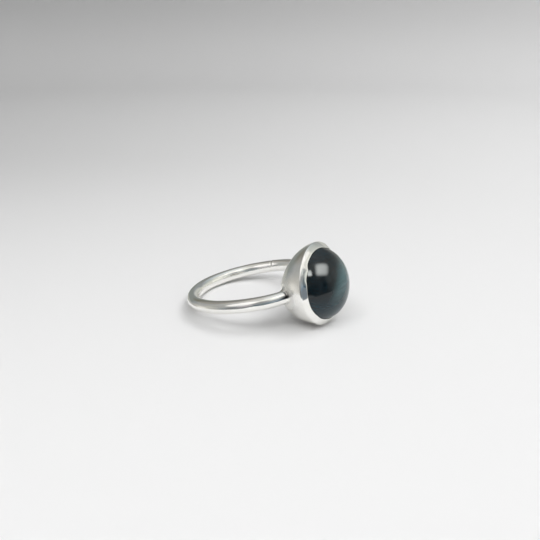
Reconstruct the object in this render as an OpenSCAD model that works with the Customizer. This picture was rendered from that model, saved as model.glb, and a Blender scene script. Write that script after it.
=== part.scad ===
// Round cabochon ring, lying on its side as it rests by itself on a flat surface.
// All sizes are millimetres. +Z is up, +X points from the far end of the shank to the stone.
// The origin is under the middle of the ring's bounding box, on the surface it lies on.

/* [Shank] */
// Inside diameter of the round shank
shank_bore = 19.0; // [17.6:0.1:20.4]
// Thickness of the round wire that the shank is bent from
wire_d = 2.15; // [1.7:0.05:2.5]
// How deep the wire's two ends are let into the wall of the cup
wire_bite = 0.45; // [0.3:0.05:0.6]

/* [Cup] */
// Diameter of the cup at its outer ridge
cup_d = 13.3; // [13.2:0.1:13.8]
// Depth of the cup's round back below the ridge
cup_depth = 6.0; // [5.6:0.1:6.3]
// Thickness of the cup's wall at the back
cup_wall = 1.0; // [0.8:0.1:1.2]
// Height of the ridge above the centre of the shank
ridge_height = 12.65; // [12.2:0.05:13.2]
// How far the middle of the ridge stands off the shank's plane
ridge_offset = 0.25; // [0:0.05:0.5]
// How far the cup leans out of the shank's plane, in degrees
cup_lean = 2.4; // [0:0.1:4]
// Height of the turned-in lip above the ridge
lip_rise = 0.75; // [0.5:0.05:1.0]
// Diameter of the lip's opening, where the stone comes out
lip_opening = 11.4; // [11.2:0.1:11.6]

/* [Stone] */
// Diameter of the round cabochon
stone_d = 12.0; // [11.9:0.05:12.1]
// How high the dome stands above the lip
dome_rise = 3.5; // [3.2:0.1:4.2]
// Whole height of the stone
stone_h = 5.2; // [5:0.1:5.4]
// Gap between stone and silver all round
seat_gap = 0.04; // [0.03:0.01:0.06]

/* [Hidden] */
$fn = 96;

wire_r = wire_d / 2;
shank_r = shank_bore / 2 + wire_r;
cup_r = cup_d / 2;
lip_r = lip_opening / 2;
stone_r = stone_d / 2;

// The cup is part of a ball whose centre lies a little above the ridge.
ball_r = (cup_r * cup_r + cup_depth * cup_depth) / (2 * cup_depth);
ball_up = ball_r - cup_depth;

// The dome of the stone is part of a smaller ball. Heights in the head count from the ridge.
dome_r = (lip_r * lip_r + dome_rise * dome_rise) / (2 * dome_rise);
dome_up = lip_rise + dome_rise - dome_r;
stone_foot = lip_rise + dome_rise - stone_h;

// The angle, seen from the middle of the shank, at which the wire's centre line meets the cup.
ball_x = ridge_height + ball_up;
meet_angle = acos((shank_r * shank_r + ball_x * ball_x - ball_r * ball_r) / (2 * shank_r * ball_x));
wire_end = meet_angle - wire_bite / shank_r * 180 / PI;

// Lying on its side, the ring touches the surface with the far end of the shank and the belly
// of the cup. This is the slope of the shank's plane at which both are level.
slope_x = ridge_height + shank_r + ball_up * cos(cup_lean);
slope_z = ridge_offset + ball_up * sin(cup_lean);
slope_c = ball_r - wire_r;
rest_slope = asin(slope_c / norm([slope_x, slope_z])) - atan2(slope_z, slope_x);

// How far the turned ring is lifted on to the surface, and moved to stand over the origin.
lift = shank_r * sin(rest_slope) + wire_r;
far_x = -shank_r * cos(rest_slope) - wire_r;
dome_x = ridge_height * cos(rest_slope) - ridge_offset * sin(rest_slope)
    + dome_up * cos(rest_slope + cup_lean) + dome_r;
mid_x = (far_x + dome_x) / 2;

// Puts the finished ring on the surface, over the origin.
module at_rest() {
    translate([-mid_x, 0, lift]) rotate([0, -rest_slope, 0]) children();
}

// Turns a head that is modelled upright, with its ridge at height 0, on to the shank.
module on_shank() {
    translate([ridge_height, 0, ridge_offset]) rotate([0, 90 - cup_lean, 0]) children();
}

// Keeps only what lies between two heights.
module between(low, high) {
    intersection() {
        children();
        translate([0, 0, low]) cylinder(r = cup_r * 2, h = high - low);
    }
}

// The round wire, bent to a ring that is open where the cup closes it.
module shank_wire() {
    rotate([0, 0, wire_end])
        rotate_extrude(angle = 360 - 2 * wire_end)
            translate([shank_r, 0]) circle(r = wire_r);
}

// The cup's outer form: a round back below the ridge and a sloping lip above it.
module cup_outside() {
    between(-cup_depth - 1, 0) translate([0, 0, ball_up]) sphere(r = ball_r);
    cylinder(r1 = cup_r, r2 = lip_r - seat_gap, h = lip_rise);
}

// The stone's form, larger by a gap all round when it is used to cut the seat.
module stone_form(gap) {
    intersection() {
        translate([0, 0, stone_foot - gap]) cylinder(r = stone_r + gap, h = stone_h + 2);
        translate([0, 0, dome_up]) sphere(r = dome_r + gap);
    }
}

// The hollow behind the stone. Its edge leaves a narrow ledge that the stone stands on.
module cup_hollow() {
    between(-cup_depth, stone_foot) translate([0, 0, ball_up]) sphere(r = ball_r - cup_wall);
}

module silver_setting() {
    color("#c9cdd2") at_rest() difference() {
        union() {
            shank_wire();
            on_shank() cup_outside();
        }
        on_shank() {
            stone_form(seat_gap);
            cup_hollow();
        }
    }
}

module cabochon() {
    color("#27313a") at_rest() on_shank() stone_form(0);
}

silver_setting();
cabochon();
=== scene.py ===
"""A tiger eye ring: a round silver wire shank, a round-backed silver cup and a high cabochon.

The ring lies on its side on a pale sweep, as it rests by itself, under soft studio light. Shapes are
worked out in the ring's own coordinates, in millimetres, and put on the table at the end:
x runs from the middle of the shank to the stone, y across, and z along the finger.
Around the stone, "head" coordinates are used: u is the height above the cup's ridge, a and b lie
across it, and a direction round the head is an angle counted from a towards b.
"""

from math import acos, asin, cos, pi, radians, sin, sqrt, tan

import bpy
import numpy as np
from mathutils import Matrix, Vector
from mathutils.geometry import delaunay_2d_cdt


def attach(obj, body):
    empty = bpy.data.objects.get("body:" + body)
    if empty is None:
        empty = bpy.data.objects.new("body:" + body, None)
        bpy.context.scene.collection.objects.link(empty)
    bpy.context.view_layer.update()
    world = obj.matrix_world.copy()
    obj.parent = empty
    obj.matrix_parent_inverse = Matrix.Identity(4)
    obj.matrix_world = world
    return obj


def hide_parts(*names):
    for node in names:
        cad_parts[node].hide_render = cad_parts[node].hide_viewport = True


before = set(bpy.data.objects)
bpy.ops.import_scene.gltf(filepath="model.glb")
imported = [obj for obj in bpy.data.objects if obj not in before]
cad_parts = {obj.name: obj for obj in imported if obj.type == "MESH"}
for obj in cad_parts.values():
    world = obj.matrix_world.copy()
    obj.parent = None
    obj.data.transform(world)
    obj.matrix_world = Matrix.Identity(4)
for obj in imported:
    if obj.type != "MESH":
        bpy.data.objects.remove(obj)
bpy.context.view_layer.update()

MM = 0.001

# The ring's sizes, as in the part's source, in millimetres.
SHANK_R = 10.575
WIRE_R = 1.075
CUP_R = 6.65
CUP_DEPTH = 6.0
CUP_WALL = 1.0
RIDGE_MID = np.array([12.65, 0.0, 0.25])
LEAN = radians(2.4)
LIP_R = 5.70
LIP_RISE = 0.75
DOME_RISE = 3.5
STONE_R = 6.0
STONE_H = 5.2
REST_SLOPE = radians(12.90179)
LIFT = 3.436192
MIDDLE = 2.608855

BALL_R = (CUP_R**2 + CUP_DEPTH**2) / (2 * CUP_DEPTH)
BALL_UP = BALL_R - CUP_DEPTH
DOME_R = (LIP_R**2 + DOME_RISE**2) / (2 * DOME_RISE)
DOME_UP = LIP_RISE + DOME_RISE - DOME_R
STONE_FOOT = LIP_RISE + DOME_RISE - STONE_H

# What the maker's hand left: the middle of the cup's back hangs to one side and low.
BACK_SIDE = -1.32
BACK_LOW = -1.02
# How softly the cup's belly is worn flat where it lies on the table.
WORN = 0.012
# The gap between the stone and the silver, and how far the lip's edge turns down beside the dome.
STONE_GAP = 0.04
LIP_TURN = 0.20
# The parts of the sloping lip's width where the rounding of the ridge ends and that of the edge begins, and
# how far the slope bulges between them.
SLOPE_FROM, SLOPE_TO, SLOPE_BULGE = 0.16, 0.78, 0.045

AXIS_U = np.array([cos(LEAN), 0.0, sin(LEAN)])
AXIS_A = np.array([0.0, 1.0, 0.0])
AXIS_B = np.array([-sin(LEAN), 0.0, cos(LEAN)])


def on_table(points):
    """Ring coordinates in millimetres to metres on the table: turned by REST_SLOPE about y, lifted by LIFT,
    and moved along x by MIDDLE."""
    x, y, z = points[..., 0], points[..., 1], points[..., 2]
    c, s = cos(REST_SLOPE), sin(REST_SLOPE)
    return np.stack([x * c - z * s - MIDDLE, y, x * s + z * c + LIFT], -1) * MM


def from_head(u, a, b):
    """Head coordinates to ring coordinates: the ridge's middle plus u, a and b times their directions."""
    return RIDGE_MID + u[..., None] * AXIS_U + a[..., None] * AXIS_A + b[..., None] * AXIS_B


def on_axis(u):
    """The point on the head's middle line at a height, in ring coordinates."""
    return RIDGE_MID + u * AXIS_U


def to_head(points):
    """Ring coordinates to head coordinates: the offset from the ridge's middle along u, a and b."""
    d = points - RIDGE_MID
    return d @ AXIS_U, d @ AXIS_A, d @ AXIS_B


def lean_back(u, a, b, way=1.0):
    """Shifts a and b by BACK_SIDE and BACK_LOW times the square of the depth below the ridge over the cup's
    depth. way is 1, or -1 to take the shift off."""
    deep = np.clip(-u / CUP_DEPTH, 0.0, None) ** 2
    return u, a + way * BACK_SIDE * deep, b + way * BACK_LOW * deep


def worn_flat(points):
    """Lifts points off the table: their height over WORN becomes the log of one plus the exponential of the
    height over WORN, which leaves high points alone."""
    up = np.array([sin(REST_SLOPE), 0.0, cos(REST_SLOPE)])
    height = points @ up + LIFT
    eased = WORN * np.logaddexp(0.0, height / WORN)
    return points + (eased - height)[..., None] * up


def waves(angle, *parts):
    """A smooth closed ripple: a sum over parts of a height times the sine of a count times the angle plus a
    phase."""
    return sum(h * np.sin(n * angle + phase) for h, n, phase in parts)


def bumps(angle, *parts):
    """Small swellings round a circle: each is a height times a bell at an angle and of a width in degrees."""
    total = np.zeros_like(angle)
    for height, at, width in parts:
        away = (np.degrees(angle) - at + 180.0) % 360.0 - 180.0
        total = total + height * np.exp(-((away / width) ** 2))
    return total


def smooth(t):
    """Eases from 0 to 1: three t squared less two t cubed, with t held between 0 and 1."""
    t = np.clip(t, 0.0, 1.0)
    return t * t * (3 - 2 * t)


def through(angle, table):
    """A smooth closed curve through a table's pairs of angle in degrees and height: between two pairs a cubic
    whose slope at each pair is that of the line between its two neighbours."""
    at = np.degrees(angle) % 360.0
    turns, heights = np.array(table).T
    turns = np.concatenate([[turns[-1] - 360.0], turns, [360.0, 360.0 + turns[1]]])
    heights = np.concatenate([[heights[-1]], heights, heights[:2]])
    slopes = (heights[2:] - heights[:-2]) / (turns[2:] - turns[:-2])
    i = np.searchsorted(turns[1:-1], at, side="right") - 1
    span = turns[i + 2] - turns[i + 1]
    k = (at - turns[i + 1]) / span
    start, end = slopes[i], slopes[i + 1]
    first = (1 + 2 * k) * (1 - k) ** 2 * heights[i + 1] + k * (1 - k) ** 2 * span * start
    return first + k**2 * (3 - 2 * k) * heights[i + 2] - k**2 * (1 - k) * span * end


def parabola(p, q, s, k):
    """The point at k, from 0 to 1, on the parabola from p to s whose tangents there meet in q."""
    return (1 - k) ** 2 * p + 2 * k * (1 - k) * q + k**2 * s


def between(p, q, steps):
    """Points on the straight line from p to q, with both ends left out."""
    k = np.linspace(0, 1, steps + 2)[1:-1, None]
    return (1 - k) * np.asarray(p) + k * np.asarray(q)


def ring_quads(first, rows, columns):
    """Index quads of a grid that is closed across its columns: each joins a point to the next one round and
    the next row."""
    i, j = np.meshgrid(np.arange(rows - 1) * columns, np.arange(columns), indexing="ij")
    n = (j + 1) % columns
    return first + np.stack([i + j, i + n, i + columns + n, i + columns + j], -1)


def fan(pole, first, columns, turn):
    """Triangles that close a grid's end row in one point. turn swaps their direction."""
    j = np.arange(columns)
    n = (j + 1) % columns
    ring = [first + n, first + j] if turn else [first + j, first + n]
    return np.stack([np.full(columns, pole), *ring], -1)


def build(name, points, quads, triangles, material, values=None):
    """Makes a smooth mesh object from ring coordinates and index arrays, with the object at the origin.
    values are floats for each point, stored as named attributes."""
    mesh = bpy.data.meshes.new(name)
    quads, triangles = np.asarray(quads).reshape(-1, 4), np.asarray(triangles).reshape(-1, 3)
    used, loops = np.unique(np.concatenate([quads.ravel(), triangles.ravel()]), return_inverse=True)
    points = points[used]
    sizes = np.concatenate([np.full(len(quads), 4), np.full(len(triangles), 3)])
    mesh.vertices.add(len(points))
    mesh.vertices.foreach_set("co", on_table(points).astype(np.float32).ravel())
    mesh.loops.add(len(loops))
    mesh.loops.foreach_set("vertex_index", loops.astype(np.int32))
    mesh.polygons.add(len(sizes))
    mesh.polygons.foreach_set("loop_start", np.concatenate([[0], np.cumsum(sizes)[:-1]]).astype(np.int32))
    mesh.polygons.foreach_set("use_smooth", np.ones(len(sizes), bool))
    for key, numbers in (values or {}).items():
        mesh.attributes.new(key, "FLOAT", "POINT").data.foreach_set("value", numbers[used].astype(np.float32))
    mesh.update(calc_edges=True)
    mesh.validate()
    mesh.materials.append(material)
    piece = bpy.data.objects.new(name, mesh)
    bpy.context.scene.collection.objects.link(piece)
    return piece


# ---------------------------------------------------------------- materials


def srgb(code):
    """The linear colour of an sRGB hex value: each channel over 12.92 below 0.04045, else its 2.4 power."""
    parts = [int(code[i : i + 2], 16) / 255 for i in (1, 3, 5)]
    return tuple(c / 12.92 if c <= 0.04045 else ((c + 0.055) / 1.055) ** 2.4 for c in parts) + (1.0,)


def add(tree, kind, links=(), **settings):
    """Adds one node. settings are its own options, or its inputs by name with _ for a space or by number as
    in_0; stops are a colour ramp's pairs of position and hex colour; links are pairs of an input's name or
    number and the output it comes from."""
    node = tree.nodes.new(kind)
    for key, value in settings.items():
        if key == "stops":
            elements = node.color_ramp.elements
            while len(elements) < len(value):
                elements.new(0.5)
            for element, (position, code) in zip(elements, value):
                element.position, element.color = position, srgb(code)
        elif key.startswith("in_"):
            node.inputs[int(key[3:])].default_value = value
        elif hasattr(node, key):
            setattr(node, key, value)
        else:
            node.inputs[key.replace("_", " ")].default_value = value
    for where, output in links:
        tree.links.new(output, node.inputs[where])
    return node


def empty_material(name):
    """A new node material with only its output; returns the material, its tree and the output."""
    material = bpy.data.materials.new(name)
    material.use_nodes = True
    material.node_tree.nodes.clear()
    return material, material.node_tree, add(material.node_tree, "ShaderNodeOutputMaterial")


def silver_polished():
    """Sterling silver, polished: cast and soldered, then filed, buffed on a wheel and worn a little. The eye
    sees a bright neutral mirror with hairlines from the cloth. It is softer on the cup's back and satin in
    the corners beside the wire. Beside the front joint it is painted near black in a line, a painted shade
    for the crevice there."""
    material, tree, out = empty_material("sterling silver, polished")
    here = add(tree, "ShaderNodeTexCoord").outputs["Object"]
    # Hairlines 0.05 mm apart and 1.4 mm long, drawn coarser than real ones so that they show.
    stretched = add(
        tree, "ShaderNodeMapping", [("Vector", here)], Scale=(20000, 20000, 700), Rotation=(0.5, 0.2, 0.4)
    )
    hairs = add(
        tree, "ShaderNodeTexNoise", [("Vector", stretched.outputs[0])], Scale=1.0, Detail=2.0, Roughness=0.6
    )
    relief = add(tree, "ShaderNodeBump", [("Height", hairs.outputs["Fac"])], Strength=0.05, Distance=0.00001)
    # Soft unevenness of the buffed surface, about a millimetre across, in roughness and in a warm trace.
    soft = add(tree, "ShaderNodeTexNoise", [("Vector", here)], Scale=900.0, Detail=3.0, Roughness=0.5)
    satin = add(tree, "ShaderNodeAttribute", attribute_name="satin")
    level = add(
        tree, "ShaderNodeMapRange", [("Value", satin.outputs["Fac"])], clamp=False, To_Min=0.05, To_Max=0.20
    )
    uneven = add(
        tree, "ShaderNodeMath", [(0, soft.outputs["Fac"])], operation="MULTIPLY_ADD", in_1=0.05, in_2=-0.025
    )
    rough = add(tree, "ShaderNodeMath", [(0, level.outputs[0]), (1, uneven.outputs[0])], operation="ADD")
    silver_tone = add(
        tree, "ShaderNodeValToRGB", [("Fac", soft.outputs["Fac"])], stops=((0.3, "#fbfaf5"), (0.7, "#fffefb"))
    )
    # Painted shade: the base colour goes near black beside the front joint, standing for the shaded crevice
    # there.
    black = add(tree, "ShaderNodeAttribute", attribute_name="soot")
    colour = add(
        tree,
        "ShaderNodeMix",
        [("Factor", black.outputs["Fac"]), (6, silver_tone.outputs["Color"])],
        data_type="RGBA",
        in_7=srgb("#2f2c2b"),
    )
    shader = add(
        tree,
        "ShaderNodeBsdfPrincipled",
        [("Base Color", colour.outputs[2]), ("Roughness", rough.outputs[0]), ("Normal", relief.outputs[0])],
        Metallic=1.0,
    )
    tree.links.new(shader.outputs[0], out.inputs["Surface"])
    return material


# The painted sheen on the stone's outer side: the direction across it, the distance along that direction at
# which it begins, and how far on it has its full strength, in metres.
SHEEN_NORMAL, SHEEN_START, SHEEN_WIDE = (0.766, 0.548, -0.337), 0.0058, 0.0021


def tiger_eye_polished():
    """Blue tiger eye, polished: cut and tumbled to a glassy dome. The eye sees a blue-black body with fine
    silky fibres, a faint teal sheen on one side, and clear window reflections on the polish. The sheen is
    painted into the base colour."""
    material, tree, out = empty_material("blue tiger eye, polished")
    here = add(tree, "ShaderNodeTexCoord").outputs["Object"]
    # Fibres lie across the ring's plane, about 0.15 mm apart, pushed up to 0.8 mm aside by bends 4 mm long.
    bends = add(tree, "ShaderNodeTexNoise", [("Vector", here)], Scale=260.0, Detail=2.0, Roughness=0.5)
    bent = add(
        tree,
        "ShaderNodeVectorMath",
        [(0, bends.outputs["Color"]), (2, here)],
        operation="MULTIPLY_ADD",
        in_1=(0.0008, 0.0008, 0.0008),
    ).outputs[0]
    along = add(
        tree, "ShaderNodeMapping", [("Vector", bent)], Scale=(900, 260, 6500), Rotation=(0.25, 0.1, 0.0)
    )
    fibres = add(
        tree, "ShaderNodeTexNoise", [("Vector", along.outputs[0])], Scale=1.0, Detail=4.0, Roughness=0.6
    ).outputs["Fac"]
    # The painted sheen starts at a flat plane that cuts the dome's outer side.
    layer = add(tree, "ShaderNodeVectorMath", [(0, bent)], operation="DOT_PRODUCT", in_1=SHEEN_NORMAL)
    beyond = add(
        tree,
        "ShaderNodeMapRange",
        [("Value", layer.outputs["Value"])],
        interpolation_type="SMOOTHSTEP",
        From_Min=SHEEN_START,
        From_Max=SHEEN_START + SHEEN_WIDE,
    )
    # It dies away towards the foot of the dome.
    height = add(tree, "ShaderNodeSeparateXYZ", [("Vector", bent)]).outputs["Z"]
    higher = add(
        tree,
        "ShaderNodeMapRange",
        [("Value", height)],
        interpolation_type="SMOOTHSTEP",
        From_Min=0.0040,
        From_Max=0.0085,
        To_Min=0.12,
        To_Max=1.0,
    )
    sheen = add(
        tree, "ShaderNodeMath", [(0, beyond.outputs[0]), (1, higher.outputs[0])], operation="MULTIPLY"
    )
    # The body is blackest high up, where it has a quarter of the colour that it has near its foot.
    deep = add(
        tree,
        "ShaderNodeMapRange",
        [("Value", height)],
        interpolation_type="SMOOTHSTEP",
        From_Min=0.0050,
        From_Max=0.0072,
        To_Min=1.0,
        To_Max=0.27,
    )
    body = add(
        tree,
        "ShaderNodeValToRGB",
        [("Fac", fibres)],
        stops=((0.30, "#04131a"), (0.55, "#07232c"), (0.75, "#0d333e")),
    )
    body = add(
        tree,
        "ShaderNodeVectorMath",
        [(0, body.outputs["Color"]), ("Scale", deep.outputs[0])],
        operation="SCALE",
    )
    # The painted sheen: a lighter teal-grey base colour mixed in on the sheen's side of the dome.
    glow = add(
        tree,
        "ShaderNodeValToRGB",
        [("Fac", fibres)],
        stops=((0.30, "#334b4e"), (0.60, "#3e595d"), (0.80, "#49666a")),
    )
    colour = add(
        tree,
        "ShaderNodeMix",
        [("Factor", sheen.outputs[0]), (6, body.outputs[0]), (7, glow.outputs["Color"])],
        data_type="RGBA",
    )
    # Fine wear of the polish, in patches two thirds of a millimetre across.
    wear = add(tree, "ShaderNodeTexNoise", [("Vector", here)], Scale=1500.0, Detail=3.0, Roughness=0.6)
    rough = add(tree, "ShaderNodeMapRange", [("Value", wear.outputs["Fac"])], To_Min=0.05, To_Max=0.10)
    shader = add(
        tree,
        "ShaderNodeBsdfPrincipled",
        [("Base Color", colour.outputs[2]), ("Roughness", rough.outputs[0])],
        IOR=1.52,
    )
    tree.links.new(shader.outputs[0], out.inputs["Surface"])
    return material


# ---------------------------------------------------------------- silver setting


# The closed saw cut: where it crosses the wire, how deep and wide its dent is, and how high its burr is, how
# far beside the dent and how wide, in millimetres.
SEAM_AT, SEAM_DENT, SEAM_BURR = radians(106.0), (0.07, 0.12), (0.04, 0.32, 0.16)
# How far the bent wire runs outside a true circle, level with the table, and above its plane: swellings as
# bumps takes them, in millimetres and degrees round the finger.
SHANK_OUT = ((0.36, 237, 28), (0.21, 188, 28))
SHANK_UP = ((0.09, 92, 18), (-0.07, 319, 14))


def wire_point(angle, around):
    """A point on the shank's round wire. angle runs round the finger from the head and around runs round the
    wire from its outer side: the wire's middle line plus its radius times the turned unit vector. The middle
    line is a circle plus SHANK_OUT and SHANK_UP. The radius ripples by a few thousandths, and a closed saw
    cut shows as a fine dent with a burr beside it, each a bell along the back wire."""
    seam = (angle - SEAM_AT) * SHANK_R
    dent = SEAM_DENT[0] * np.exp(-((seam / SEAM_DENT[1]) ** 2))
    burr = SEAM_BURR[0] * np.exp(-(((seam + SEAM_BURR[1]) / SEAM_BURR[2]) ** 2))
    ripple = waves(angle, (0.004, 9, 0.5), (0.003, 17, 2.0)) + 0.002 * np.sin(3 * around + 4 * angle)
    thick = WIRE_R + ripple - dent + burr
    out = np.stack([np.cos(angle), np.sin(angle), 0 * angle], -1)
    up = np.array([0.0, 0.0, 1.0])
    outside, above = bumps(angle, *SHANK_OUT), bumps(angle, *SHANK_UP)
    above = above - outside * np.cos(angle) * tan(REST_SLOPE)
    far, high = SHANK_R + outside + thick * np.cos(around), above + thick * np.sin(around)
    return far[..., None] * out + high[..., None] * up


def cup_depth_of(points):
    """How far a point lies outside the cup's round back: its distance from the ball's middle less the ball's
    radius, after the back's sideways lean is taken off."""
    u, a, b = to_head(points)
    u, a, b = lean_back(u, a, b, -1.0)
    return np.sqrt((u - BALL_UP) ** 2 + a**2 + b**2) - BALL_R


def on_cup(points):
    """Drops points on to the cup's round back: the lean is taken off, the point is moved along the ball's
    radius to its surface, and the lean is put back."""
    u, a, b = to_head(points)
    u, a, b = lean_back(u, a, b, -1.0)
    far = BALL_R / np.sqrt((u - BALL_UP) ** 2 + a**2 + b**2)
    return from_head(*lean_back(BALL_UP + (u - BALL_UP) * far, a * far, b * far))


def meeting_angle(around, inside, outside):
    """For each line along the wire, the angle at which it enters the cup, found by halving the interval 40
    times."""
    low, high = np.full_like(around, inside), np.full_like(around, outside)
    for _ in range(40):
        mid = (low + high) / 2
        inner = cup_depth_of(wire_point(mid, around)) < 0
        low, high = np.where(inner, mid, low), np.where(inner, high, mid)
    return (low + high) / 2


WIRE_STEPS, WIRE_SIDES, FILLET_STEPS = 420, 72, 9
# The two ends of the shank: angles inside and outside the cup, the way along the wire, and how far the solder
# runs out from the wire: a small run all round, plus a swelling with its height, middle and width as bumps
# takes them.
BACK_END = (radians(12), radians(60), 1, 0.18, (0.10, 90, 70))
FRONT_END = (radians(348), radians(300), -1, 0.09, (0.75, 112, 38))


def solder_run(around, end):
    """How far an end's solder runs, in millimetres: the small run with a slow ripple, plus its swelling."""
    _, _, way, run, swelling = end
    ripple = waves(around, (0.16, 1, 0.6 + way), (0.08, 2, 1.7), (0.05, 3, 0.2))
    return run * (1.0 + ripple) + bumps(around, swelling)


def soot(angle, around, joint):
    """How much painted shade darkens the wire beside its front joint, from 0 to 1, standing for the shaded
    crevice there: a line along the joint, and a streak that runs along the wire, each a bell in the distance
    from the joint in millimetres times a bell or window round the wire in degrees."""
    far = (joint - angle) * SHANK_R
    turn = np.degrees(around + pi) % 360.0 - 180.0
    line = np.exp(-(((far - 0.12) / 0.17) ** 2)) * smooth((turn + 5) / 15) * smooth((75 - turn) / 20)
    streak = np.exp(-(((far - 0.42) / 0.48) ** 2)) * np.exp(-(((turn - 13) / 11) ** 2))
    return np.clip(line + streak, 0.0, 1.0)


def wire_and_fillets():
    """The shank: lines along the wire from one flare to the other, and at each end a flare of solder, a
    parabola from the wire to the cup whose tangents meet where the bare wire would enter the cup. Returns the
    grid of points, the angle at the middle of each end, and how black each point between the flares is."""
    around = np.arange(WIRE_SIDES) * 2 * pi / WIRE_SIDES
    starts, flares, ends = [], [], []
    for end in (BACK_END, FRONT_END):
        inside, outside, way = end[:3]
        run = solder_run(around, end)
        meet = meeting_angle(around, inside, outside)
        start = meet + way * run / (SHANK_R + WIRE_R * np.cos(around))
        tip = wire_point(meet, around)
        out = np.stack([np.cos(meet), np.sin(meet), 0 * meet], -1)
        radial = np.cos(around)[:, None] * out + np.sin(around)[:, None] * np.array([0.0, 0.0, 1.0])
        normal = tip - on_axis(BALL_UP)
        normal /= np.linalg.norm(normal, axis=1)[:, None]
        side = radial - (radial * normal).sum(1)[:, None] * normal
        side /= np.linalg.norm(side, axis=1)[:, None]
        foot = on_cup(tip + side * run[:, None])
        base = wire_point(start, around)
        k = np.linspace(0, 1, FILLET_STEPS + 1)[1:, None, None]
        flares.append(parabola(base, tip, foot, k))
        starts.append(start)
        ends.append(float(meet.mean()))
    first, last = starts
    angle = first + (last - first) * np.linspace(0, 1, WIRE_STEPS)[:, None]
    tube = wire_point(angle, np.broadcast_to(around, angle.shape))
    points = np.concatenate([flares[0][::-1], tube, flares[1]])
    return points, ends, soot(angle, around, last)


# How far the lip's edge stands above or below its mean height, in millimetres, at turns in degrees: it was
# pressed down further at the top and the bottom, and least at the lower left.
LIP_EDGE = (
    *((0, 0.04), (25, 0.08), (45, 0.12), (58, 0.28), (66, 0.40), (74, 0.40), (82, 0.24), (90, 0.16)),
    *((98, 0.09), (108, 0.02), (118, -0.01), (130, -0.05), (136, 0.04), (141, 0.18), (148, 0.12)),
    *((156, 0.04), (165, 0.09), (175, 0.05), (188, -0.04), (200, -0.09), (212, -0.04), (222, 0.04)),
    *((232, 0.04), (240, 0.10), (248, 0.20), (256, 0.22), (268, 0.12), (285, 0.0), (305, -0.04)),
    (335, -0.02),
)


def lip_shape(turn):
    """How the pressed lip wanders round the stone, in millimetres: extra height of its edge, a curve through
    LIP_EDGE; extra bulge of its slope, a slow ripple plus marks of the pusher; and extra height of the ridge,
    a slow ripple."""
    rise = through(turn, LIP_EDGE)
    marks = bumps(turn, (0.03, 150, 9), (-0.04, 176, 5), (0.03, 110, 4))
    bulge = waves(turn, (0.012, 3, 1.0), (0.008, 5, 2.6)) + marks
    ridge = waves(turn, (0.030, 2, 2.2), (0.015, 5, 0.9))
    return rise, bulge, ridge


BACK_STEPS, CUP_SIDES = 96, 256


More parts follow.
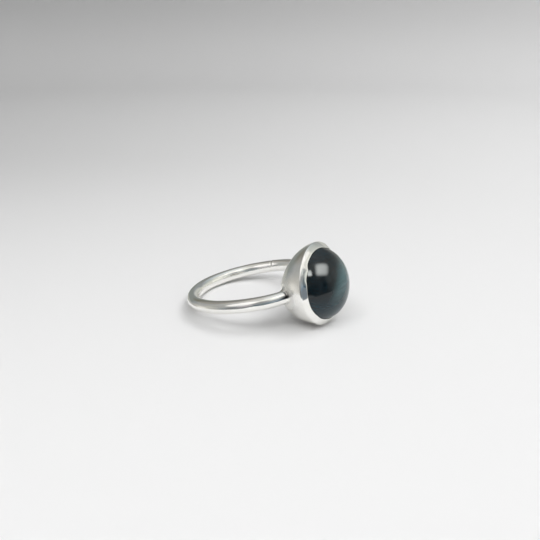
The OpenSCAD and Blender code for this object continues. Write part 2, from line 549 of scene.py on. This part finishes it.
def cup_surface():
    """The cup, as a profile carried round the head. The profile runs from the back's pole along the ball to a
    rounded ridge, up the sloping lip, round its pressed edge, down behind the stone's dome and girdle to the
    ledge, and along the hollow's ball to its pole. Heights and radii wander as lip_shape says. Returns the
    grid of points, the two poles, and how satin each point is."""
    turn = np.arange(CUP_SIDES) * 2 * pi / CUP_SIDES
    rise, bulge, ridge = lip_shape(turn)

    # The back ends a little short of the ridge, which is rounded.
    t = np.linspace(0, acos(BALL_UP / BALL_R) - 0.030, BACK_STEPS + 1)[1:]
    back_r, back_u = BALL_R * np.sin(t), BALL_UP - BALL_R * np.cos(t)
    ones = np.ones_like(turn)
    rows = [(r * ones, u * ones, 1.0) for r, u in zip(back_r, back_u)]

    lip_u = LIP_RISE + rise
    lip_r = np.sqrt(DOME_R**2 - (lip_u - DOME_UP) ** 2) + STONE_GAP
    # The ridge is a little wider at the top.
    ridge_r = CUP_R + ridge * 0.4 + bumps(turn, (0.10, 104, 45))
    ridge_u = ridge
    slope_r, slope_u = lip_r - ridge_r, lip_u - ridge_u
    slope_l = np.sqrt(slope_r**2 + slope_u**2)
    normal_r, normal_u = slope_u / slope_l, -slope_r / slope_l

    def on_slope(k):
        """The point at k from the ridge to the lip's edge: on the straight line, lifted by a parabola."""
        lift = (SLOPE_BULGE + bulge) * 4 * k * (1 - k)
        return ridge_r + slope_r * k + normal_r * lift, ridge_u + slope_u * k + normal_u * lift

    # The rounded ridge, where the satin ends.
    from_r, from_u = back_r[-1], back_u[-1]
    to_r, to_u = on_slope(SLOPE_FROM)
    for k in np.linspace(0, 1, 9)[1:-1]:
        fading = 1.0 - smooth(2.0 * k)
        rows.append((parabola(from_r, ridge_r, to_r, k), parabola(from_u, ridge_u, to_u, k), fading))
    rows += [(*on_slope(k), 0.0) for k in np.linspace(SLOPE_FROM, SLOPE_TO, 20)]
    # The lip's rounded edge, turning down on to the dome.
    around_dome, around_stone = DOME_R + STONE_GAP, STONE_R + STONE_GAP
    edge_u = lip_u - LIP_TURN
    edge_r = np.sqrt(around_dome**2 - (edge_u - DOME_UP) ** 2)
    from_r, from_u = on_slope(SLOPE_TO)
    for k in np.linspace(0, 1, 15)[1:]:
        rows.append((parabola(from_r, lip_r, edge_r, k), parabola(from_u, lip_u, edge_u, k), 0.0))
    # Down behind the dome to the girdle, and on to the ledge.
    girdle_u = DOME_UP + sqrt(around_dome**2 - around_stone**2)
    for k in np.linspace(0, 1, 6)[1:]:
        u = edge_u + (girdle_u - edge_u) * k
        rows.append((np.sqrt(around_dome**2 - (u - DOME_UP) ** 2), u, 0.0))
    ledge_u = STONE_FOOT - STONE_GAP
    hollow_r = BALL_R - CUP_WALL
    corner = np.array([around_stone, ledge_u])
    inner = np.array([sqrt(hollow_r**2 - (ledge_u - BALL_UP) ** 2), ledge_u])
    for r, u in [*between((around_stone, girdle_u), corner, 3), corner, *between(corner, inner, 2)]:
        rows.append((r * ones, u * ones, 0.0))
    t_in = acos((BALL_UP - ledge_u) / hollow_r)
    for t in np.linspace(t_in, 0, 26)[:-1]:
        rows.append((hollow_r * sin(t) * ones, (BALL_UP - hollow_r * cos(t)) * ones, 1.0))

    r = np.stack([row[0] for row in rows])
    u = np.stack([row[1] * ones for row in rows])
    satin = np.array([[row[2]] for row in rows]) * ones
    points = worn_flat(from_head(*lean_back(u, r * np.cos(turn), r * np.sin(turn))))
    poles = np.array([[BALL_UP - BALL_R, 0.0, 0.0], [BALL_UP - hollow_r, 0.0, 0.0]])
    poles = from_head(*lean_back(poles[:, 0], poles[:, 1], poles[:, 2]))
    return points, poles, satin


def patch(points, cup_first, removed, ring, middle_angle):
    """Closes the cup's surface round one solder flare: the stepped edge of the opened grid and the flare's
    foot are drawn on the plane square to the wire and joined by a Delaunay triangulation."""
    rows, columns = removed.shape
    i, j = np.nonzero(np.roll(removed, -1, 1) != removed)
    n = (j + 1) % columns
    upright = np.stack([i * columns + n, (i + 1) * columns + n], -1)
    i, j = np.nonzero(removed[1:] != removed[:-1])
    n = (j + 1) % columns
    level = np.stack([(i + 1) * columns + j, (i + 1) * columns + n], -1)
    edges = np.concatenate([upright, level]) + cup_first
    outer, inverse = np.unique(edges, return_inverse=True)
    used = np.concatenate([outer, ring])
    out = np.array([cos(middle_angle), sin(middle_angle), 0.0])
    flat = np.stack([points[used] @ out, points[used][:, 2]], -1)
    k = np.arange(len(ring))
    seams = [tuple(e) for e in inverse.reshape(-1, 2).tolist()]
    seams += [(len(outer) + a, len(outer) + b) for a, b in zip(k.tolist(), np.roll(k, -1).tolist())]
    made = delaunay_2d_cdt([Vector(p) for p in flat.tolist()], seams, [], 1, 1e-9)
    triangles = np.array(made[2])
    source = np.array([s[0] for s in made[3]])
    triangles = source[triangles]
    triangles = triangles[(triangles < len(outer)).any(1)]
    return used[triangles]


# The cup's grid is opened round the wire as far as the solder's run, times the first number, plus the second
# one in millimetres, and no further along the wire than the third.
OPEN_TIMES, OPEN_MORE, OPEN_ALONG = 1.2, 0.14, 2.5
# How satin the wire and the solder are, where the cup's back is 1 and its lip 0. The cup is more satin in the
# corner beside the wire: by how much, over how wide a band, and how far along the wire, in millimetres.
WIRE_SATIN, SOLDER_SATIN = 0.15, 0.3
CORNER_SATIN, CORNER_WIDE, CORNER_ALONG = 2.4, 1.3, 3.0


def silver_setting(material):
    """The whole soldered setting as one closed mesh: wire, flares and cup share their seam points. The cup's
    grid is opened round both ends of the wire, and patch joins it to each flare's foot."""
    wire, ends, joint_shading = wire_and_fillets()
    cup, poles, satin = cup_surface()
    wire_rows, cup_rows = len(wire), len(cup)
    points = np.concatenate([wire.reshape(-1, 3), cup.reshape(-1, 3), poles])
    cup_first = wire_rows * WIRE_SIDES
    wire_quads = ring_quads(0, wire_rows, WIRE_SIDES)[..., ::-1].reshape(-1, 4)
    cup_quads = ring_quads(cup_first, cup_rows, CUP_SIDES)
    keep = np.ones((cup_rows - 1, CUP_SIDES), bool)
    triangles = []
    for at, row, end in zip(ends, (0, wire_rows - 1), (BACK_END, FRONT_END)):
        out = np.array([cos(at), sin(at), 0.0])
        along = np.array([-sin(at), cos(at), 0.0])
        offset = cup - SHANK_R * out
        off_axis = np.sqrt((offset @ out) ** 2 + offset[..., 2] ** 2)
        run = solder_run(np.arctan2(offset[..., 2], offset @ out), end)
        reach = WIRE_R + run * OPEN_TIMES + OPEN_MORE
        near = (off_axis < reach) & (np.abs(offset @ along) < OPEN_ALONG)
        near[BACK_STEPS - 1 :] = False
        # The buffing wheel can't reach the corner beside the wire, so the cup is satin there.
        corner = smooth((reach + CORNER_WIDE - off_axis) / CORNER_WIDE)
        satin = satin + CORNER_SATIN * corner * (np.abs(offset @ along) < CORNER_ALONG)
        hit = near[:-1] | near[1:]
        hit = hit | np.roll(hit, -1, 1)
        keep &= ~hit
        ring = row * WIRE_SIDES + np.arange(WIRE_SIDES)
        triangles.append(patch(points, cup_first, hit, ring, at))
    triangles = np.concatenate(triangles)
    p, q, s = (points[triangles[:, i]] for i in range(3))
    inward = (np.cross(q - p, s - p) * (p - on_axis(BALL_UP))).sum(1) < 0
    triangles[inward] = triangles[inward][:, ::-1]
    pole = cup_first + cup_rows * CUP_SIDES
    fans = [fan(pole, cup_first, CUP_SIDES, True), fan(pole + 1, pole - CUP_SIDES, CUP_SIDES, False)]

    flares = FILLET_STEPS * WIRE_SIDES
    satin = np.concatenate([np.full(cup_first, WIRE_SATIN), satin.ravel(), [1.0, 1.0]])
    satin[:flares] = SOLDER_SATIN
    satin[cup_first - flares : cup_first] = SOLDER_SATIN
    # Painted shade beside the front joint, fading across the front flare.
    black = np.zeros(len(points))
    black[flares : cup_first - flares] = joint_shading.ravel()
    fading = np.linspace(1.0, 0.0, FILLET_STEPS)[:, None] ** 0.5
    black[cup_first - flares : cup_first] = (joint_shading[-1] * fading).ravel()
    quads = np.concatenate([wire_quads, cup_quads[keep]])
    triangles = np.concatenate([triangles, *fans])
    values = {"satin": satin, "soot": black}
    return build("silver_setting_finished", points, quads, triangles, material, values)


# ---------------------------------------------------------------- stone


STONE_ROWS, STONE_SIDES = 80, 220
# The chamfer round the stone's foot, in millimetres.
CHAMFER = 0.25
# How much fuller than a ball's the dome's shoulders are: swellings as bumps takes them.
SHOULDERS = ((0.15, 274, 38), (0.05, 42, 30))


def cabochon(material):
    """The stone, as a profile carried round: the dome's arc from its top to the girdle, the upright girdle, a
    small chamfer and the flat foot. A point of the dome is pushed out along the ball's radius by a wave of
    hundredths of a millimetre, as hand polishing leaves it, and by the fuller shoulders."""
    turn = np.arange(STONE_SIDES) * 2 * pi / STONE_SIDES
    t = np.linspace(0, asin(STONE_R / DOME_R), STONE_ROWS + 1)[1:]
    r = DOME_R * np.sin(t)
    u = DOME_UP + DOME_R * np.cos(t)
    corners = [(STONE_R, u[-1]), (STONE_R, STONE_FOOT + CHAMFER), (STONE_R - CHAMFER, STONE_FOOT)]
    below = []
    for p, q in zip(corners, [*corners[1:], (0.0, STONE_FOOT)]):
        below += [*between(p, q, 3), np.asarray(q)]
    below = np.array(below[:-1])
    r, u = np.concatenate([r, below[:, 0]])[:, None], np.concatenate([u, below[:, 1]])[:, None]
    # The wave dies away towards the lip, and the shoulders lie between the top and the lip.
    wave = smooth(u - LIP_RISE - 0.2) * 0.008 * np.sin(2 * turn + 0.6 + 0.5 * u)
    down = np.arccos(np.clip((u - DOME_UP) / DOME_R, -1, 1)) / asin(LIP_R / DOME_R)
    full = smooth((down - 0.25) / 0.4) * smooth((1.0 - down) / 0.2)
    swell = wave + full * bumps(turn, *SHOULDERS)
    wide, high = r + swell * r / DOME_R, u + swell * (u - DOME_UP) / DOME_R
    points = from_head(high, wide * np.cos(turn), wide * np.sin(turn))
    points = np.concatenate([points.reshape(-1, 3), [on_axis(DOME_UP + DOME_R), on_axis(STONE_FOOT)]])
    quads = ring_quads(0, len(r), STONE_SIDES)[..., ::-1]
    pole = len(r) * STONE_SIDES
    fans = [fan(pole, 0, STONE_SIDES, False), fan(pole + 1, pole - STONE_SIDES, STONE_SIDES, True)]
    return build("cabochon_finished", points, quads, np.concatenate(fans), material)


# ---------------------------------------------------------------- studio


def toward(azimuth, elevation):
    """The unit direction at an azimuth, in degrees from +Y towards +X, and an elevation above the floor."""
    a, e = radians(azimuth), radians(elevation)
    return Vector((cos(e) * sin(a), cos(e) * cos(a), sin(e)))


# The paper's tone, a painted shade that stands for light falling off across the sweep: at TONE_PLACE, far
# from there on the side away from TONE_AZIMUTH, and far towards it; and the distances in metres from the
# place over which it changes.
PAPER = 0.80
NEAR_TONE, FAR_TONES = 1.004 * PAPER, (0.557 * PAPER, 1.052 * PAPER)
TONE_PLACE, TONE_AZIMUTH, TONE_REACH = (-0.022, -0.090, 0.0), 65.7, (-0.033, 0.207)
# Painted shade on the rising sweep: how much darker it is where the sweep has risen to a height in metres.
RISE_DROP, RISE_HEIGHT = -0.171 * PAPER, 0.10


def paper():
    """Matt sweep paper: rolled and unprinted. The eye sees a white near the ring that falls off to grey
    towards the back, and no gloss. The falloff and the darker wall are painted shade in the paper's colour,
    standing for light that falls off along a sweep."""
    material, tree, out = empty_material("sweep paper, matt")
    here = add(tree, "ShaderNodeTexCoord").outputs["Object"]
    flat = add(tree, "ShaderNodeVectorMath", [(0, here)], operation="MULTIPLY", in_1=(1, 1, 0))
    away = add(
        tree, "ShaderNodeVectorMath", [(0, flat.outputs[0])], operation="SUBTRACT", in_1=TONE_PLACE
    ).outputs[0]
    length = add(tree, "ShaderNodeVectorMath", [(0, away)], operation="LENGTH")
    facing = add(tree, "ShaderNodeVectorMath", [(0, away)], operation="NORMALIZE")
    facing = add(
        tree,
        "ShaderNodeVectorMath",
        [(0, facing.outputs[0])],
        operation="DOT_PRODUCT",
        in_1=toward(TONE_AZIMUTH, 0),
    )
    height = add(tree, "ShaderNodeSeparateXYZ", [("Vector", here)]).outputs["Z"]
    # The far tone comes nine tenths of the way to its second value.
    side = add(
        tree,
        "ShaderNodeMapRange",
        [("Value", facing.outputs["Value"])],
        interpolation_type="SMOOTHSTEP",
        From_Min=-1.0,
        From_Max=1.5,
        To_Min=FAR_TONES[0],
        To_Max=FAR_TONES[1],
    )
    depth = add(
        tree,
        "ShaderNodeMapRange",
        [("Value", length.outputs["Value"])],
        interpolation_type="SMOOTHSTEP",
        From_Min=TONE_REACH[0],
        From_Max=TONE_REACH[1],
    )
    tone = add(tree, "ShaderNodeMix", [("Factor", depth.outputs[0]), (3, side.outputs[0])], in_2=NEAR_TONE)
    drop = add(
        tree,
        "ShaderNodeMapRange",
        [("Value", height)],
        interpolation_type="SMOOTHSTEP",
        From_Max=RISE_HEIGHT,
        To_Max=RISE_DROP,
    )
    tone = add(
        tree, "ShaderNodeMath", [(0, tone.outputs[0]), (1, drop.outputs[0])], operation="ADD"
    ).outputs[0]
    colour = add(tree, "ShaderNodeCombineColor", [(0, tone), (1, tone), (2, tone)]).outputs[0]
    # Paper grain, drawn coarser than real fibres, at a quarter of a millimetre, so that it shows.
    grain = add(tree, "ShaderNodeTexNoise", [("Vector", here)], Scale=4000.0, Detail=2.0)
    relief = add(tree, "ShaderNodeBump", [("Height", grain.outputs["Fac"])], Strength=0.02, Distance=0.00005)
    shader = add(
        tree,
        "ShaderNodeBsdfPrincipled",
        [("Base Color", colour), ("Normal", relief.outputs[0])],
        Roughness=0.95,
        Specular_IOR_Level=0.1,
    )
    tree.links.new(shader.outputs[0], out.inputs["Surface"])
    return material


# The middle and half sizes of the white board under the ring, and how far the sweep lies flat, the radius of
# its bend and the height of its wall, in millimetres.
BOARD_MID, BOARD_HALF = (24.5, 13.5), (42.0, 37.5)
SWEEP_FLAT, SWEEP_BEND, SWEEP_WALL = 450.0, 400.0, 700.0


def paper_surface(name, r, z, wide, closed, material):
    """Part of the sweep: rings round the board's middle with the given radii and heights. Each ring is a mix,
    by wide, of a circle and the board's outline, a rounded oblong whose two coordinates are the square roots
    of a circle's. The first ring is filled when closed is true."""
    sides = 240
    turn = np.arange(sides) * 2 * pi / sides
    circle = np.stack([np.cos(turn), np.sin(turn)], -1)
    oblong = np.sign(circle) * np.abs(circle) ** 0.5 * np.array(BOARD_HALF)
    reach = (r / r[-1])[:, None, None] * oblong if closed else np.broadcast_to(oblong, (len(r), sides, 2))
    flat = (1 - wide)[:, None, None] * reach + (wide * r)[:, None, None] * circle + np.array(BOARD_MID)
    points = np.concatenate([flat, np.broadcast_to(z[:, None, None], (len(r), sides, 1))], -1).reshape(-1, 3)
    faces = ring_quads(0, len(r), sides)[..., ::-1].reshape(-1, 4).tolist()
    if closed:
        points = np.concatenate([points, [[*BOARD_MID, 0.0]]])
        faces += fan(len(points) - 1, 0, sides, False).tolist()
    mesh = bpy.data.meshes.new(name)
    mesh.from_pydata((points * MM).tolist(), [], faces)
    mesh.polygons.foreach_set("use_smooth", np.ones(len(mesh.polygons), bool))
    mesh.materials.append(material)
    made = bpy.data.objects.new(name, mesh)
    bpy.context.scene.collection.objects.link(made)
    return made


def sweep(material):
    """The paper in two parts that meet edge to edge: the board near the ring, which the silver mirrors, and
    the rest, flat at first, then a quarter circle up and a wall all round, which no mirror shows."""
    board_r = np.linspace(2, BOARD_HALF[0], 24)
    board = paper_surface("white board", board_r, 0 * board_r, 0 * board_r, True, material)
    flat = np.linspace(BOARD_HALF[0], SWEEP_FLAT, 40)
    t = np.linspace(0, pi / 2, 40)[1:]
    wall = SWEEP_BEND + np.linspace(0, SWEEP_WALL, 13)[1:]
    r = np.concatenate([flat, SWEEP_FLAT + SWEEP_BEND * np.sin(t), 0 * wall + SWEEP_FLAT + SWEEP_BEND])
    z = np.concatenate([0 * flat, SWEEP_BEND * (1 - np.cos(t)), wall])
    # The outline turns from the board's into a circle over 120 mm.
    wide = np.clip((r - BOARD_HALF[0]) / 120.0, 0.0, 1.0)
    rest = paper_surface("sweep", r, z, wide, False, material)
    rest.visible_glossy = False
    return board, rest


# The room's even light, and its patches: azimuth, elevation, radius where a patch is full and radius where it
# ends, in degrees, and its strength in red, green and blue. Below zero stands for something dark that takes
# light away.
ROOM_LEVEL = (0.278, 0.296, 0.305)
ROOM_LIGHTS = (
    (140, 80, 20, 55, (0.33, 0.31, 0.29)),
    (50, 15, 20, 55, (0.39, 0.38, 0.33)),
    (-170, 45, 18, 26, (0.50, 0.48, 0.48)),
    (-120, -15, 0, 40, (0.22, 0.19, 0.15)),
    (90, 65, 12, 18, (0.28, 0.27, 0.26)),
    (-10, -15, 26, 36, (0.25, 0.24, 0.20)),
    (150, -25, 12, 18, (0.82, 0.88, 0.86)),
    (-10, 55, 0, 28, (0.16, 0.20, 0.22)),
    (-140, 25, 18, 26, (0.08, 0.07, 0.05)),
    (130, 65, 12, 18, (0.25, 0.26, 0.23)),
    (170, 15, 0, 18, (0.20, 0.17, 0.17)),
    (-70, -25, 18, 26, (0.18, 0.17, 0.15)),
    (90, 25, 7, 12, (0.20, 0.22, 0.21)),
    (-100, 35, 18, 26, (0.07, 0.06, 0.05)),
    (40, 80, 12, 18, (0.14, 0.16, 0.18)),
    (20, 35, 12, 18, (-0.09, -0.08, -0.07)),
    (120, 45, 7, 12, (0.14, 0.16, 0.16)),
    (60, 55, 7, 12, (0.19, 0.19, 0.20)),
    (-120, -15, 0, 18, (0.27, 0.27, 0.27)),
    (150, 45, 0, 18, (-0.17, -0.17, -0.17)),
    (110, 5, 7, 12, (-0.10, -0.09, -0.07)),
    (106, 17, 4, 9, (-0.14, -0.13, -0.12)),
    (122, 12, 6, 14, (0.00, 0.03, 0.06)),
    (60, 25, 0, 18, (0.20, 0.20, 0.19)),
    (-60, 45, 26, 36, (-0.05, -0.07, -0.09)),
    (170, -15, 26, 36, (-0.07, -0.08, -0.08)),
    (140, 5, 12, 18, (-0.10, -0.08, -0.07)),
    (100, 45, 7, 12, (-0.14, -0.13, -0.12)),
    (-60, 5, 18, 26, (-0.05, -0.05, -0.07)),
)


def room():
    """The world: an even level plus soft round patches of light, each eased from its edge to its middle. It
    is only mirrored, and lights no matt surface."""
    world = bpy.data.worlds.new("soft studio")
    bpy.context.scene.world = world
    world.use_nodes = True
    tree = world.node_tree
    tree.nodes.clear()
    direction = add(tree, "ShaderNodeTexCoord").outputs["Generated"]
    level = add(tree, "ShaderNodeCombineXYZ", X=ROOM_LEVEL[0], Y=ROOM_LEVEL[1], Z=ROOM_LEVEL[2]).outputs[0]
    for azimuth, elevation, full, end, strength in ROOM_LIGHTS:
        near = add(
            tree,
            "ShaderNodeVectorMath",
            [(0, direction)],
            operation="DOT_PRODUCT",
            in_1=toward(azimuth, elevation),
        )
        eased = add(
            tree,
            "ShaderNodeMapRange",
            [("Value", near.outputs["Value"])],
            interpolation_type="SMOOTHSTEP",
            From_Min=cos(radians(end)),
            From_Max=cos(radians(full)),
        )
        level = add(
            tree,
            "ShaderNodeVectorMath",
            [(0, eased.outputs[0]), (2, level)],
            operation="MULTIPLY_ADD",
            in_1=strength,
        ).outputs[0]
    back = add(tree, "ShaderNodeBackground", [("Color", level)])
    out = add(tree, "ShaderNodeOutputWorld")
    tree.links.new(back.outputs[0], out.inputs["Surface"])
    world.cycles_visibility.diffuse = False
    return world


# The stone's place, and how far from it the cards hang and half their width, in metres.
STONE_PLACE = Vector((0.0104, 0.0, 0.0075))
CARD_FAR, CARD_HALF = 0.6, 0.35


def card(name, azimuth, elevation, across, down, slant, strength, lit):
    """A window with a blind: a flat card that faces the stone from a direction. across and down turn a place
    on the card, in metres, into two coordinates that reach 1 near the edges of the light. The light fades
    there by the square root of the sum of their fourth powers, and changes evenly along both by slant. It
    shines only on lit."""
    material, tree, out = empty_material(name)
    here = add(tree, "ShaderNodeTexCoord").outputs["Object"]
    first = add(tree, "ShaderNodeVectorMath", [(0, here)], operation="DOT_PRODUCT", in_1=(*across, 0))
    second = add(tree, "ShaderNodeVectorMath", [(0, here)], operation="DOT_PRODUCT", in_1=(*down, 0))
    pair = add(
        tree, "ShaderNodeCombineXYZ", [(0, first.outputs["Value"]), (1, second.outputs["Value"])]
    ).outputs[0]
    square = add(tree, "ShaderNodeVectorMath", [(0, pair), (1, pair)], operation="MULTIPLY").outputs[0]
    fourth = add(tree, "ShaderNodeVectorMath", [(0, square), (1, square)], operation="DOT_PRODUCT")
    reach = add(tree, "ShaderNodeMath", [(0, fourth.outputs["Value"])], operation="SQRT")
    fade = add(
        tree,
        "ShaderNodeMapRange",
        [("Value", reach.outputs[0])],
        interpolation_type="SMOOTHSTEP",
        From_Min=0.1,
        From_Max=1.7,
        To_Min=strength,
        To_Max=0.0,
    ).outputs[0]
    side = add(tree, "ShaderNodeVectorMath", [(0, pair)], operation="DOT_PRODUCT", in_1=(*slant, 0))
    light = add(
        tree, "ShaderNodeMath", [(0, side.outputs["Value"]), (1, fade), (2, fade)], operation="MULTIPLY_ADD"
    )
    glow = add(tree, "ShaderNodeEmission", [("Strength", light.outputs[0])], Color=srgb("#fbfffc"))
    clear = add(tree, "ShaderNodeBsdfTransparent")
    both = add(tree, "ShaderNodeAddShader", [(0, clear.outputs[0]), (1, glow.outputs[0])])
    tree.links.new(both.outputs[0], out.inputs["Surface"])
    mesh = bpy.data.meshes.new(name)
    corners = [(-CARD_HALF, -CARD_HALF, 0), (CARD_HALF, -CARD_HALF, 0), (CARD_HALF, CARD_HALF, 0)]
    mesh.from_pydata([*corners, (-CARD_HALF, CARD_HALF, 0)], [], [(0, 1, 2, 3)])
    mesh.materials.append(material)
    held = bpy.data.objects.new(name, mesh)
    where = toward(azimuth, elevation)
    turned = where.to_track_quat("Z", "Y").to_matrix().to_4x4()
    held.matrix_world = Matrix.Translation(where * CARD_FAR + STONE_PLACE) @ turned
    held.visible_camera = False
    held.visible_diffuse = False
    held.visible_shadow = False
    bpy.context.scene.collection.objects.link(held)
    receivers = bpy.data.collections.new(name + " shines on")
    receivers.objects.link(lit)
    held.light_linking.receiver_collection = receivers
    return held


# The lamps: each one's name, azimuth and elevation, distance and width in metres, and power in watts.
SOFT_BOXES = (
    ("soft box behind on the right", 50, 60, 1.2, 0.7, 6.28),
    ("soft box in front", 180, 55, 1.2, 0.8, 7.12),
    ("soft box on the right", 120, 52, 1.2, 0.7, 3.35),
    ("overhead soft box", 115, 76, 1.4, 2.0, 5.5),
)


def soft_box(name, azimuth, elevation, distance, width, power):
    """A square lamp held up at a direction and distance and turned to the ring. It lights the paper and the
    stone's body softly, and isn't mirrored."""
    data = bpy.data.lights.new(name, "AREA")
    data.size = width
    data.energy = power
    lamp = bpy.data.objects.new(name, data)
    where = toward(azimuth, elevation)
    turned = where.to_track_quat("Z", "Y").to_matrix().to_4x4()
    lamp.matrix_world = Matrix.Translation(where * distance) @ turned
    lamp.visible_glossy = False
    lamp.visible_camera = False
    bpy.context.scene.collection.objects.link(lamp)
    return lamp


def camera():
    """The camera, at the photograph's place over the table, in millimetres, from its right and view axes."""
    data = bpy.data.cameras.new("camera")
    data.sensor_width = 36.0
    data.lens = 38.62
    data.clip_start = 0.001
    data.clip_end = 20.0
    made = bpy.data.objects.new("camera", data)
    right = Vector((0.8556, 0.5177, 0.0071)).normalized()
    view = Vector((-0.4774, 0.7941, -0.3762)).normalized()
    up = right.cross(view).normalized()
    right = view.cross(up).normalized()
    place = Matrix((right, up, -view)).transposed().to_4x4()
    place.translation = Vector((46.279, -76.739, 43.059)) * MM
    made.matrix_world = place
    bpy.context.scene.collection.objects.link(made)
    bpy.context.scene.camera = made
    return made


# ---------------------------------------------------------------- the scene

camera()
setting = silver_setting(silver_polished())
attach(setting, "root")
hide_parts("silver_setting")

stone = cabochon(tiger_eye_polished())
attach(stone, "root")
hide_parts("cabochon")

sweep(paper())
room()
for lamp in SOFT_BOXES:
    soft_box(*lamp)
card(
    "window",
    azimuth=91,
    elevation=54.7,
    across=(3.8, -4.1),
    down=(-3.0, -4.8),
    slant=(-0.20, 0.05),
    strength=8.5,
    lit=stone,
)
card(
    "second window",
    azimuth=155.6,
    elevation=52.9,
    across=(15.6, 4.1),
    down=(3.3, -11.0),
    slant=(-0.05, 0.22),
    strength=12.0,
    lit=stone,
)

bpy.context.scene.view_settings.view_transform = "Standard"
